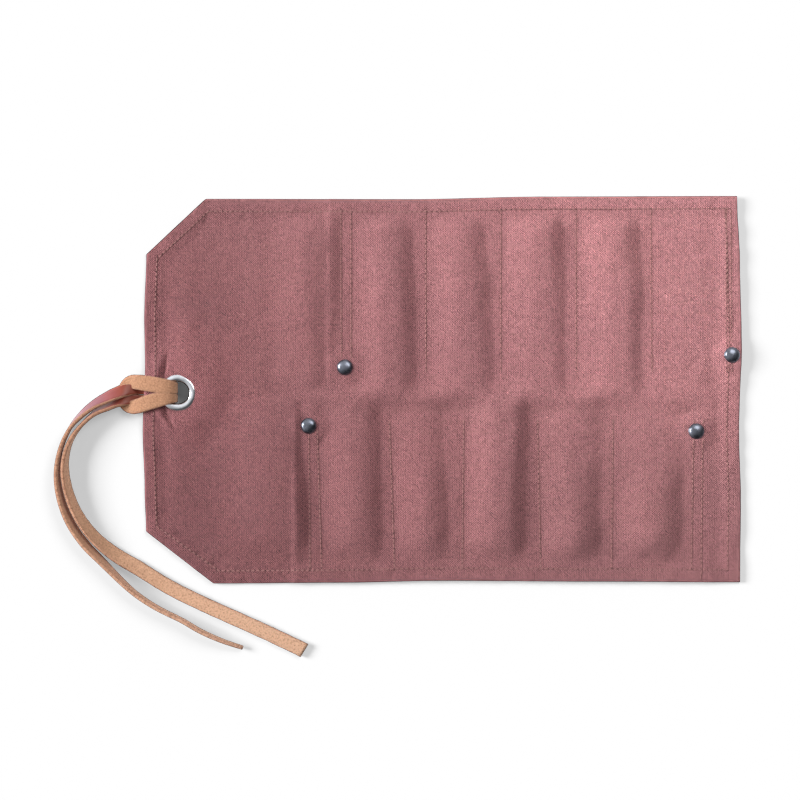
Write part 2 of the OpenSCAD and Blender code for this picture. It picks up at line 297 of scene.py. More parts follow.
def new_object(name, points, faces):
    mesh = bpy.data.meshes.new(name)
    mesh.from_pydata([tuple(p) for p in points], [], [tuple(f) for f in faces])
    mesh.validate()
    mesh.update()
    mesh.polygons.foreach_set("use_smooth", [True] * len(mesh.polygons))
    piece = bpy.data.objects.new(name, mesh)
    bpy.context.scene.collection.objects.link(piece)
    return piece


def add_attribute(piece, name, kind, values):
    attribute = piece.data.attributes.new(name, kind, "POINT")
    key = "vector" if kind == "FLOAT_VECTOR" else "value"
    attribute.data.foreach_set(key, np.asarray(values, np.float32).ravel())


def grid_faces(nx, ny):
    i, j = np.meshgrid(np.arange(nx - 1), np.arange(ny - 1), indexing="ij")
    a = (i * ny + j).ravel()
    return np.stack([a, a + ny, a + ny + 1, a + 1], 1)


def shell(name, x, y, upper, lower, hole=None):
    """Closed sheet from grids of upper and lower heights in millimetres; hole is (centre, radius)."""
    nx, ny = x.shape
    n = nx * ny
    points = np.concatenate([np.stack([x, y, z], -1).reshape(-1, 3) for z in (upper, lower)])
    top = grid_faces(nx, ny)
    if hole is not None:
        centre, radius = hole
        at = points[top].mean(1)
        top = top[np.hypot(at[:, 0] - centre[0], at[:, 1] - centre[1]) > radius]
    edges = np.concatenate([top[:, [k, (k + 1) % 4]] for k in range(4)])
    key, back = edges[:, 0] * n + edges[:, 1], edges[:, 1] * n + edges[:, 0]
    rim = edges[~np.isin(key, back)]
    walls = np.stack([rim[:, 1], rim[:, 0], rim[:, 0] + n, rim[:, 1] + n], 1)
    faces = np.concatenate([top, top[:, ::-1] + n, walls])
    used = np.unique(faces)
    index = np.zeros(2 * n, int)
    index[used] = np.arange(len(used))
    piece = new_object(name, points[used] * MM, index[faces].tolist())
    add_attribute(piece, "rest", "FLOAT_VECTOR", points[used] * MM)
    return piece, used


def upright(normals):
    return normals / np.linalg.norm(normals, axis=-1, keepdims=True)


def set_normals(piece, used, x, y, upper, lower, cut):
    """Normals taken from the whole panel, so that its pieces show no line where they meet."""
    every = []
    for z, sign in ((upper, 1), (lower, -1)):
        dx = np.gradient(np.stack([x, y, z], -1), axis=0)
        dy = np.gradient(np.stack([x, y, z], -1), axis=1)
        every.append(upright(np.cross(dx, dy) * sign)[cut].reshape(-1, 3))
    piece.data.normals_split_custom_set_from_vertices(np.concatenate(every)[used].tolist())


# ---- Outer panel ----


def spaced_lines(start, end, step):
    return np.linspace(start, end, max(2, round((end - start) / step) + 1))


# Insets of the grid's lines at the rounded edge, and where the even grid starts
ROUNDING = [0, 0.06, 0.22, 0.5, 0.9]
ROUNDED = 1.6
MIDDLES = [(FOLDS[k] + FOLDS[k + 1]) / 2 for k in range(len(FOLDS) - 1)]
CUTS = [LEFT] + MIDDLES + [RIGHT]
GRID = 1.0


def panel_grid():
    """Lines across the panel, shared by its pieces, and steps along them."""
    columns = []
    for a, b in zip(CUTS[:-1], CUTS[1:]):
        columns.append(spaced_lines(a, b, GRID)[:-1])
    x = np.concatenate(columns + [[RIGHT]])
    inner = spaced_lines(LEFT + ROUNDED, CUTS[1], GRID)
    x = np.concatenate([LEFT + np.array(ROUNDING), inner, x[x > CUTS[1] + 0.01]])
    x = np.concatenate([x[x < RIGHT - ROUNDED], RIGHT - np.array(ROUNDING[::-1])])
    height = 2 * TOP
    t = spaced_lines(ROUNDED, height - ROUNDED, GRID)
    t = np.concatenate([ROUNDING, t, height - np.array(ROUNDING[::-1])]) / height
    return x, t


def panel_points():
    lines, steps = panel_grid()
    x = np.repeat(lines[:, None], len(steps), 1)
    low = y_end(x, EDGE_BOTTOM, CUT_BOTTOM)
    high = y_end(x, EDGE_TOP, CUT_TOP)
    y = low + (high - low) * steps[None, :]
    # the side edges wander a little, and the lines next to them follow
    share = (x - LEFT) / (RIGHT - LEFT)
    x = x + (eased(y, EDGE_LEFT) - LEFT) * (1 - share) ** 3 + (eased(y, EDGE_RIGHT) - RIGHT) * share ** 3
    return lines, x, y


def blend_over(piece):
    """Bakes the piece's placement into its mesh."""
    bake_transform(piece)


PANEL_NODES = [
    ["canvas_flap_end"], ["canvas_flap_middle"], ["canvas_flap_inner"], ["canvas_column_1"],
    ["canvas_column_2"], ["canvas_column_3"], ["canvas_column_4", "canvas_column_5"],
]
EYELET_HOLE = 8.2


def make_panel(material):
    lines, x, y = panel_points()
    upper, lower, inset = cloth_faces(x, y)
    lower = np.maximum(lower, 0.02)
    upper = np.maximum(upper, lower + 0.001)
    for k in range(len(FOLDS)):
        a = int(np.argmin(abs(lines - CUTS[k])))
        b = int(np.argmin(abs(lines - CUTS[k + 1])))
        cut = np.s_[a:b + 1]
        hole = (EYELET, EYELET_HOLE) if k == 0 else None
        piece, used = shell(f"outer_panel_{k + 1}", x[cut], y[cut], upper[cut], lower[cut], hole)
        add_attribute(piece, "inset", "FLOAT", np.tile(inset[cut].ravel(), 2)[used] * MM)
        set_normals(piece, used, x, y, upper, lower, cut)
        piece.data.materials.append(material)
        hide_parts(*PANEL_NODES[k])
        blend_over(piece)


# ---- Pocket strips ----

# How far a strip's closed end stays inside the panel's edge
STRIP_INSET = 1.2
STRIPS = (
    ("top_strip", "top_pocket_", TOP_STRIP, TOP_MOUTH, 1),
    ("bottom_strip", "bottom_pocket_", BOTTOM_STRIP, BOTTOM_MOUTH, -1),
)


def strip_piece(name, a, b, strip, mouth, side):
    """One piece of a pocket strip from x = a to b, with its folded mouth hem."""
    x_lines = spaced_lines(a, b, 1.5)
    depth = TOP - STRIP_INSET - abs(mouth)
    over_hem = np.concatenate([[0, 0.1, 0.35, 0.8], spaced_lines(1.5, 7.5, 1.5), [8.2]])
    d_lines = np.concatenate([over_hem, spaced_lines(10, depth, 3)])
    x, d = np.meshgrid(x_lines, d_lines, indexing="ij")
    edge = y_end(x, EDGE_TOP, CUT_TOP) if side > 0 else -y_end(x, EDGE_BOTTOM, CUT_BOTTOM)
    y = mouth + side * d * (edge - STRIP_INSET - abs(mouth)) / depth
    x = x + (eased(y, EDGE_RIGHT) - RIGHT) * ((x - LEFT) / (RIGHT - LEFT)) ** 3
    if side < 0:
        x, y, d = x[:, ::-1], y[:, ::-1], d[:, ::-1]
    thick = CLOTH_T * (0.55 + 0.4 * (1 - ramp((d - 7.2) / 1)))
    end = np.minimum(d, x - x[:1]) if a == strip[0] else d
    end = np.minimum(end, x[-1:] - x) if b == strip[1] else end
    half = thick / 2 * np.sqrt(np.clip(1 - (1 - np.minimum(end, 0.4) / 0.4) ** 2, 0, 1))
    low = 0.12 + 0.1 * (1 + waves(x, y, 30, 31)) / 2
    for c in CORNERS:
        low = low + 1.15 * near_pin(x, y, RIVETS[c], 4.9, 2.6)
    mid = low + thick / 2
    return shell(name, x, y, mid + half, mid - half)[0]


def make_strips(material):
    """Both strips, cut at the middles of the columns."""
    for name, node, strip, mouth, side in STRIPS:
        for k in range(len(FOLDS)):
            a, b = max(CUTS[k], strip[0]), min(CUTS[k + 1], strip[1])
            if b - a < 1:
                continue
            piece = strip_piece(f"{name}_{k + 1}", a, b, strip, mouth, side)
            piece.data.materials.append(material)
            nodes = [n for n in frame["nodes"] if n.startswith(node) and a - 1 < middle(n)[0] < b + 1]
            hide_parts(*nodes)
            blend_over(piece)


# ---- Thread ----

# Spacing of the stitches, radius and length of one, and how clear they stay of a rivet
STITCH = 2.8
THREAD_R = 0.33
THREAD_LONG = 2.1
RIVET_CLEAR = 5.4


def stitch_points(line):
    """Places and directions of the stitches along a polyline."""
    line = np.array(line, float)
    steps = np.linalg.norm(np.diff(line, axis=0), axis=1)
    along = np.concatenate([[0], np.cumsum(steps)])
    s = np.arange(STITCH / 2, along[-1], STITCH)

    def at(s):
        return np.stack([np.interp(s, along, line[:, 0]), np.interp(s, along, line[:, 1])], 1)

    ahead = at(s + 0.3) - at(s - 0.3)
    return at(s), upright(ahead)


def hem_line():
    """The hem's stitch line, one inset from the edge all round."""
    x = spaced_lines(CUT_TOP[1][0] + 2.5, RIGHT - HEM_W - 0.5, 3)
    top = [(v, eased(np.array(v), EDGE_TOP) - HEM_W) for v in x]
    y = np.linspace(TOP - HEM_W - 1, -TOP + HEM_W + 1, 70)
    right = [(eased(np.array(v), EDGE_RIGHT) - HEM_W, v) for v in y]
    bottom = [(v, eased(np.array(v), EDGE_BOTTOM) + HEM_W) for v in x[::-1] if v > CUT_BOTTOM[1][0] + 2]
    y = np.linspace(CUT_BOTTOM[0][1] + 4, CUT_TOP[0][1] - 4, 50)
    left = [(eased(np.array(v), EDGE_LEFT) + HEM_W - 1, v) for v in y]
    line = top + right + bottom + left + [top[0]]
    return [(float(a), float(b)) for a, b in line]


def seam_lines():
    """Every stitched line on the panel."""
    lines = [hem_line()]
    for seams, mouth, side in SEAM_ROWS:
        for seam in seams:
            y = np.linspace(mouth + side * 0.8, side * (TOP - HEM_W - 0.5), 40)
            lines.append([(float(seam_x(seam, v, mouth)), float(v)) for v in y])
    # the last outer row runs on across the hem
    lines.append([(145.9, -TOP + HEM_W), (145.4, -TOP + 1)])
    return lines


def face_height(x, y, below):
    """Height of the panel's upper face, or of the strips and the panel's lower face."""
    upper, lower, _ = cloth_faces(x, y)
    if not below:
        return upper
    in_top = (y > TOP_MOUTH) & (x > TOP_STRIP[0]) & (x < TOP_STRIP[1])
    in_bottom = (y < BOTTOM_MOUTH) & (x > BOTTOM_STRIP[0]) & (x < BOTTOM_STRIP[1])
    return np.where((in_top | in_bottom) & (abs(y) < TOP - 2), 0.14, np.maximum(lower, 0.1))


def stitch_mesh(at, ahead, below):
    """Short curved threads that dive into the cloth at both ends."""
    rings, sides = 7, 6
    t = np.linspace(-1, 1, rings)
    rise = (1 - t ** 2) * 0.36 - 0.14
    fat = THREAD_R * np.sqrt(np.clip(1 - abs(t) ** 6, 0.08, 1))
    across = np.stack([-ahead[:, 1], ahead[:, 0]], 1)
    turn = 2 * math.pi * np.arange(sides) / sides
    centre = at[:, None, :] + ahead[:, None, :] * (t * THREAD_LONG / 2)[None, :, None]
    level = face_height(centre[..., 0], centre[..., 1], below)
    out = fat[:, None] * np.cos(turn)
    flat = centre[:, :, None, :] + across[:, None, None, :] * out[None, :, :, None]
    up = rise[:, None] + fat[:, None] * np.sin(turn)
    z = level[:, :, None] + (-up if below else up)[None]
    points = np.concatenate([flat, z[..., None]], -1).reshape(-1, 3) * MM
    k, m = np.meshgrid(np.arange(rings - 1), np.arange(sides), indexing="ij")
    a, b = (k * sides + m).ravel(), (k * sides + (m + 1) % sides).ravel()
    tube = np.stack([a, a + sides, b + sides, b], 1)
    ends = [list(range(sides)), list(range((rings - 1) * sides, rings * sides))[::-1]]
    faces = []
    for n in range(len(at)):
        base = n * rings * sides
        faces += (tube[:, ::-1] + base).tolist() + [[base + v for v in e] for e in ends]
    if below:
        faces = [f[::-1] for f in faces]
    return points, faces


def hole_mesh(at, ahead):
    """Needle holes between the stitches: small dents with a raised lip, coloured dark with painted shade."""
    sides = 8
    turn = 2 * math.pi * np.arange(sides) / sides
    centre = at + ahead * STITCH / 2
    level = face_height(centre[:, 0], centre[:, 1], False)
    rows = []
    for radius, lift in ((0.5, -0.12), (0.44, 0.08), (0.12, -0.03)):
        ring = centre[:, None, :] + radius * np.stack([np.cos(turn), np.sin(turn)], -1)[None]
        z = np.repeat((level + lift)[:, None], sides, 1)
        rows.append(np.concatenate([ring, z[..., None]], -1))
    points = np.stack(rows, 1).reshape(-1, 3) * MM
    faces = []
    for n in range(len(at)):
        base = n * 3 * sides
        for k in (0, sides):
            for m in range(sides):
                o = (m + 1) % sides
                faces.append([base + k + m, base + k + o, base + k + sides + o, base + k + sides + m])
        faces.append([base + 2 * sides + m for m in range(sides)])
        faces.append([base + m for m in range(sides)][::-1])
    return points, faces


def make_thread(thread, hole):
    """Stitches on both faces, in one piece for each piece of the panel."""
    runs = [stitch_points(line) for line in seam_lines()]
    at = np.concatenate([r[0] for r in runs])
    ahead = np.concatenate([r[1] for r in runs])
    clear = [np.hypot(*(at - RIVETS[c]).T) > RIVET_CLEAR for c in CORNERS]
    keep = np.all(clear, axis=0)
    at, ahead = at[keep], ahead[keep]
    for k in range(len(FOLDS)):
        here = (at[:, 0] >= CUTS[k]) & (at[:, 0] < CUTS[k + 1])
        for side, below in (("outside", False), ("inside", True)):
            points, faces = stitch_mesh(at[here], ahead[here], below)
            threads = len(faces)
            if not below:
                more, more_faces = hole_mesh(at[here], ahead[here])
                faces += [[v + len(points) for v in f] for f in more_faces]
                points = np.concatenate([points, more])
            piece = new_object(f"stitches_{side}_{k + 1}", points, faces)
            piece.data.materials.append(thread)
            piece.data.materials.append(hole)
            slots = [0] * threads + [1] * (len(faces) - threads)
            piece.data.polygons.foreach_set("material_index", slots)
            blend_over(piece)


# ---- Turned metal parts ----


def lathe(name, profile, centre, segments=64):
    """Turned solid from (radius, height) points in millimetres, round a vertical axis."""
    profile = np.array(profile, float)
    angles = np.linspace(0, 2 * math.pi, segments, endpoint=False)
    points, rows = [], []
    for r, z in profile:
        if r < 1e-6:
            rows.append([len(points)])
            points.append((centre[0], centre[1], z))
        else:
            rows.append(list(range(len(points), len(points) + segments)))
            points += [(centre[0] + r * math.cos(a), centre[1] + r * math.sin(a), z) for a in angles]
    faces = []
    closed = len(rows[0]) > 1 and len(rows[-1]) > 1
    pairs = list(zip(rows[:-1], rows[1:])) + ([(rows[-1], rows[0])] if closed else [])
    for low, high in pairs:
        for m in range(segments):
            n = (m + 1) % segments
            if len(low) == 1:
                faces.append([low[0], high[n], high[m]])
            elif len(high) == 1:
                faces.append([low[m], low[n], high[0]])
            else:
                faces.append([low[m], low[n], high[n], high[m]])
    return new_object(name, np.array(points) * MM, faces)


def arc(cx, cz, r_x, r_z, start, end, count):
    return [(cx + r_x * math.cos(math.radians(a)), cz + r_z * math.sin(math.radians(a)))
            for a in np.linspace(start, end, count)]


def make_rivets(material):
    for c in CORNERS:
        low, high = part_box("rivet_cap_" + c)
        base, top, r = low.z / MM, high.z / MM, (high.x - low.x) / MM / 2
        profile = [(1.2, base + 0.3), (r - 0.7, base + 0.3), (r - 0.5, base)]
        profile += arc(r - 0.32, base + 0.3, 0.32, 0.3, -90, 60, 6)
        dome = arc(0, base + 0.35, r - 0.3, top - base - 0.35, 12, 90, 16)
        profile += dome[:-1] + [(0, top)]
        profile = [(0, base + 0.35)] + profile
        cap = lathe("cap_" + c, profile, RIVETS[c])
        cap.data.materials.append(material)
        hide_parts("rivet_cap_" + c)
        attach(cap, RIVET_BODY[c])
        under = [(0, 0.25), (2.0, 0.25), (2.4, 0.02), (r - 0.5, 0.02)]
        under += arc(r - 0.45, 0.5, 0.45, 0.48, -80, 80, 7)
        under += [(1.9, 1.1), (1.3, 1.3), (1.3, base + 0.32), (0, base + 0.32)]
        back = lathe("back_" + c, under, RIVETS[c])
        back.data.materials.append(material)
        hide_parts("rivet_back_" + c)
        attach(back, RIVET_BODY[c])


# The eyelet's hole, the cloth's height under its ring, and how much wider than the CAD's
# flange the ring is drawn
BORE = 6.3
CLOTH_AT_RING = 3.9
RING_EXTRA = 0.4


def make_eyelet(material, barrel_painted_shade):
    low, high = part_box("eyelet_flange")
    rim, base, top = (high.x - low.x) / MM / 2 + RING_EXTRA, low.z / MM, high.z / MM
    bore, cloth = BORE, CLOTH_AT_RING
    ring_r, ring_x = (rim - bore) / 2, (rim + bore) / 2
    profile = [(bore + 0.6, base + 0.15), (bore + 0.6, cloth + 0.35)]
    profile += [(ring_x, cloth + 0.55), (rim - 0.45, cloth + 0.1)]
    profile += arc(rim - 0.28, cloth + 0.25, 0.28, 0.25, -90, 0, 4)
    profile += arc(ring_x, cloth + 0.3, ring_r, top - cloth - 0.3, 8, 172, 20)
    profile += [(bore, cloth), (bore, base + 0.3)]
    profile += arc(bore + 0.3, base + 0.2, 0.3, 0.2, 180, 300, 5)
    flange = lathe("eyelet", profile, EYELET, 96)
    flange.data.materials.append(material)
    # The bore's wall gets near-black metal: painted shade inside the eyelet's hole.
    flange.data.materials.append(barrel_painted_shade)
    for face in flange.data.polygons:
        across = Vector((face.center.x, face.center.y)) / MM - Vector(EYELET)
        face.material_index = int(across.length < bore + 0.5 and face.center.z / MM < cloth + 0.6)
    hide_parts("eyelet_flange")
    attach(flange, "flap_end")
    low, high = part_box("eyelet_washer")
    a, b = low.z / MM, high.z / MM
    profile = [(bore + 0.7, a), (bore + 1.4, a - 0.05), (rim - 0.6, a + 0.1)]
    profile += arc(rim - 0.25, a + 0.35, 0.25, 0.25, -90, 60, 5) + [(rim - 0.8, b), (bore + 0.7, b)]
    washer = lathe("eyelet_back_washer", profile, EYELET, 96)
    washer.data.materials.append(material)
    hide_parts("eyelet_washer")
    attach(washer, "flap_end")


# ---- Lace ----

# The route from the middle of the loop to the tail's end: x, y, z, azimuth and elevation
# of the width, and the width, in millimetres and degrees. The points are the CAD's. On the legs
# over the ring and at the panel's edge the widths are up to 1.6 mm more than in the CAD, whose
# two halves have to keep clear of each other.
LONG_ROUTE = [
    (-181, -3.2, 1.1, 0, 0, 4), (-180.9, -5.2, 1.1, 5, 0, 4), (-179.6, -8.3, 1.5, 50, 0, 5),
    (-176, -9.8, 2.9, 78, 0, 7.2), (-171, -9.2, 5.3, 88, 0, 8.2), (-165, -7.2, 6.8, 95, 0, 8.6),
    (-159.5, -5.8, 7.2, 95, 0, 8.2), (-155, -5.2, 7, 92, 0, 6.8), (-151.2, -4.9, 5.4, 90, 0, 5.2),
    (-150.3, -4.8, 2.6, 90, 0, 4.6), (-153.4, -4.9, 1.05, 90, 0, 4.2), (-162, -5.2, 1.05, 90, 0, 4.2),
    (-170, -5.2, 1.05, 90, 0, 4.2), (-174.5, -5.3, 2, 90, 0, 5.8), (-179, -5.9, 3.5, 90, -10, 6.2),
    (-183.5, -7.2, 3.9, 95, -40, 6.5), (-188, -9.4, 4.1, 105, -62, 7.5), (-196.3, -13.6, 4.2, 125, -78, 8),
    (-204, -20.8, 4.2, 139, -85, 8), (-209.5, -29, 4.2, 155, -91, 8), (-212.4, -39, 4.2, 172, -100, 8),
    (-212.4, -49, 4.2, 184, -108, 8), (-209.4, -61.5, 4.1, 200, -115, 8), (-203.6, -73.5, 3.8, 211, -123, 8),
    (-195, -84.3, 3.3, 222, -134, 8), (-184, -93.3, 2.4, 232, -150, 8), (-171.4, -100.9, 1.6, 237, -165, 8),
    (-154, -111.6, 1.15, 241, -177, 8), (-132, -122.4, 1.1, 245, -180, 8),
    (-102.5, -135.6, 1.1, 246, -180, 8), (-78, -147.2, 1.1, 245, -180, 8.2),
]
SHORT_ROUTE = [
    (-181, -2.8, 1.1, 180, 0, 4), (-180.9, -0.8, 1.1, 175, 0, 4), (-179.2, 2.5, 1.6, 130, 0, 5),
    (-175.6, 4.2, 3.2, 102, 0, 7.4), (-170.8, 4, 5.5, 90, 0, 8.4), (-163, 2.9, 7, 86, 0, 8.8),
    (-156, 1.7, 7.3, 86, 0, 8.6), (-151.2, 0.9, 5.8, 90, 0, 7.2), (-150.3, 0.8, 2.8, 90, 0, 5.8),
    (-154, 0.3, 1.1, 90, 0, 5), (-162, -0.6, 1.05, 90, 0, 4.2), (-170, -0.6, 1.05, 90, 0, 4.4),
    (-174.3, 0, 3, 90, -4, 6), (-179, -0.6, 5.2, 90, -14, 7), (-183.5, -2.2, 5.8, 95, -28, 7.4),
    (-188, -4.2, 5.5, 102, -42, 8), (-196, -8.4, 4.7, 122, -60, 8), (-203.1, -14, 4.3, 132, -72, 8),
    (-209.6, -21.6, 4.2, 145, -83, 8), (-214.8, -33, 4.2, 162, -88, 8), (-217, -46.5, 4.2, 180, -94, 8),
    (-215.2, -60.5, 4.2, 196, -102, 8), (-210, -74.2, 4.2, 210, -109, 8), (-201.7, -86.6, 4.2, 223, -110, 8),
    (-191.7, -97, 4.2, 226, -105, 8), (-175.5, -112.9, 4.1, 232, -95, 8), (-162, -122.3, 4.1, 240, -92, 8),
    (-146.8, -130, 4.1, 244, -90, 8), (-136.5, -136, 4, 243, -90, 7.6), (-124.7, -141.4, 3.2, 247, -90, 5.6),
    (-112.8, -145.6, 1.6, 250, -90, 2.2),
]
LACE_T = 2.0


def spline(route, per_leg):
    """Points of a smooth curve through the route."""
    p = np.array(route, float)
    p = np.concatenate([p[:1], p, p[-1:]])
    out = []
    for i in range(1, len(p) - 2):
        for t in np.arange(per_leg) / per_leg:
            a, b, c, d = p[i - 1:i + 3]
            square, cubic = 2 * a - 5 * b + 4 * c - d, 3 * b - a - 3 * c + d
            out.append(0.5 * (2 * b + (c - a) * t + square * t * t + cubic * t ** 3))
    return np.array(out + [p[-2]])


def lace_outline(width, count=7):
    """Flat strip with rounded corners: the suede side first, then the grain side."""
    a, b, r = width / 2, LACE_T / 2, 0.45
    across = np.linspace(-1, 1, count)
    top = [(a - r) * v for v in across[::-1]]
    suede = [(a, b - r)] + [(v, b) for v in top] + [(-a, b - r)]
    grain = [(-a, r - b)] + [(-v, -b) for v in top] + [(a, r - b)]
    return np.array(suede + grain)


def lace_mesh(name, route, seed, tip):
    """Lace swept along its route; tip slants the cut at its end."""
    line = spline(route, 10)
    place, turn, width = line[:, :3], np.radians(line[:, 3:5]), line[:, 5]
    along = np.concatenate([[0], np.cumsum(np.linalg.norm(np.diff(place, axis=0), axis=1))])
    ahead = upright(np.gradient(place, axis=0))
    azimuth, elevation = turn.T
    level = np.cos(elevation)
    wide = np.stack([level * np.cos(azimuth), level * np.sin(azimuth), np.sin(elevation)], 1)
    side = upright(wide - (wide * ahead).sum(1, keepdims=True) * ahead)
    up = np.cross(ahead, side)
    rng = np.random.default_rng(seed)
    points = []
    for i in range(len(place)):
        ring = lace_outline(width[i])
        left = along[-1] - along[i]
        cut = ring[:, 0] * tip * (1 - ramp(left / 6))
        rough = rng.normal(0, 0.05, len(ring))
        for (u, v), c, n in zip(ring, cut, rough):
            points.append(place[i] + side[i] * (u + n * np.sign(u)) + up[i] * (v + n * 0.3) + ahead[i] * c)
    m = len(ring)
    faces, slots = [], []
    for i in range(len(place) - 1):
        for k in range(m):
            n = (k + 1) % m
            faces.append([i * m + k, i * m + n, (i + 1) * m + n, (i + 1) * m + k][::-1])
            on_suede = 1 <= k <= m // 2 - 3
            on_grain = m // 2 + 1 <= k <= m - 3
            slots.append(0 if on_suede else 1 if on_grain else 2)
    faces.append(list(range(m)))
    faces.append(list(range((len(place) - 1) * m, len(place) * m))[::-1])
    slots += [2, 2]
    piece = new_object(name, np.array(points) * MM, faces)
    piece.data.polygons.foreach_set("material_index", slots)
    across = np.tile(lace_outline(8)[:, 0], len(place))
    lengthwise = np.repeat(along, m)
    add_attribute(piece, "rest", "FLOAT_VECTOR", np.stack([lengthwise, across, 0 * across], 1) * MM)
    return piece, place, along[-1]


def make_lace(materials):
    for name, route, seed, tip in (("lace_long", LONG_ROUTE, 41, 0.1), ("lace_short", SHORT_ROUTE, 42, 0.0)):
        piece, place, length = lace_mesh(name, route, seed, tip)
        for m in materials:
            piece.data.materials.append(m)
        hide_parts(name + "_half")
        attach(piece, "lace")


# ---- Materials ----

# Spacing of the canvas ribs, and of the picks across them, in metres
RIB = 0.00132
PICK = 0.00124


class Nodes:
    """Short names for building a material's nodes."""

    def __init__(self, name):
        self.material = bpy.data.materials.new(name)
        self.material.use_nodes = True
        self.tree = self.material.node_tree
        self.shader = self.tree.nodes["Principled BSDF"]

    def add(self, kind, inputs=None, **settings):
        node = self.tree.nodes.new(kind)
        for key, value in settings.items():
            setattr(node, key, value)
        for key, value in (inputs or {}).items():
            self.set(node.inputs[key], value)
        return node

    def set(self, socket, value):
        if isinstance(value, bpy.types.NodeSocket):
            self.tree.links.new(value, socket)
        else:
            socket.default_value = value

    def math(self, operation, a, b=0.0):
        return self.add("ShaderNodeMath", {0: a, 1: b}, operation=operation).outputs[0]

    def noise(self, vector, scale, detail=3, rough=0.55):
        inputs = {"Vector": vector, "Scale": scale, "Detail": detail, "Roughness": rough}
        return self.add("ShaderNodeTexNoise", inputs).outputs["Fac"]

    def remap(self, value, low, high, to_low=0.0, to_high=1.0):
        node = self.add("ShaderNodeMapRange", {0: value, 1: low, 2: high, 3: to_low, 4: to_high})
        return node.outputs[0]

    def scaled(self, vector, factors):
        node = self.add("ShaderNodeVectorMath", {0: vector, 1: factors}, operation="MULTIPLY")
        return node.outputs[0]

    def mix(self, factor, a, b, blend_type="MIX"):
        node = self.add("ShaderNodeMix", data_type="RGBA", blend_type=blend_type)
        for socket, value in ((0, factor), (6, a), (7, b)):
            self.set(node.inputs[socket], value)
        return node.outputs[2]

    def multiply(self, a, b):
        return self.mix(1.0, a, b, "MULTIPLY")

    def bump(self, height, strength, distance):
        node = self.add("ShaderNodeBump", {"Height": height, "Strength": strength, "Distance": distance})
        return node.outputs[0]

    def finish(self, **sockets):
        for key, value in sockets.items():
            self.set(self.shader.inputs[key.replace("_", " ")], value)
        return self.material


def rgb(*values):
    """sRGB values from 0 to 255 as a linear colour."""
    linear = [v / 255 / 12.92 if v <= 10 else ((v / 255 + 0.055) / 1.055) ** 2.4 for v in values]
    return (*linear, 1.0)


def scaled_tint(tint, *factors):
    factors = factors * 3 if len(factors) == 1 else factors
    return tuple(min(1.0, c * f) for c, f in zip(tint[:3], factors)) + (1.0,)


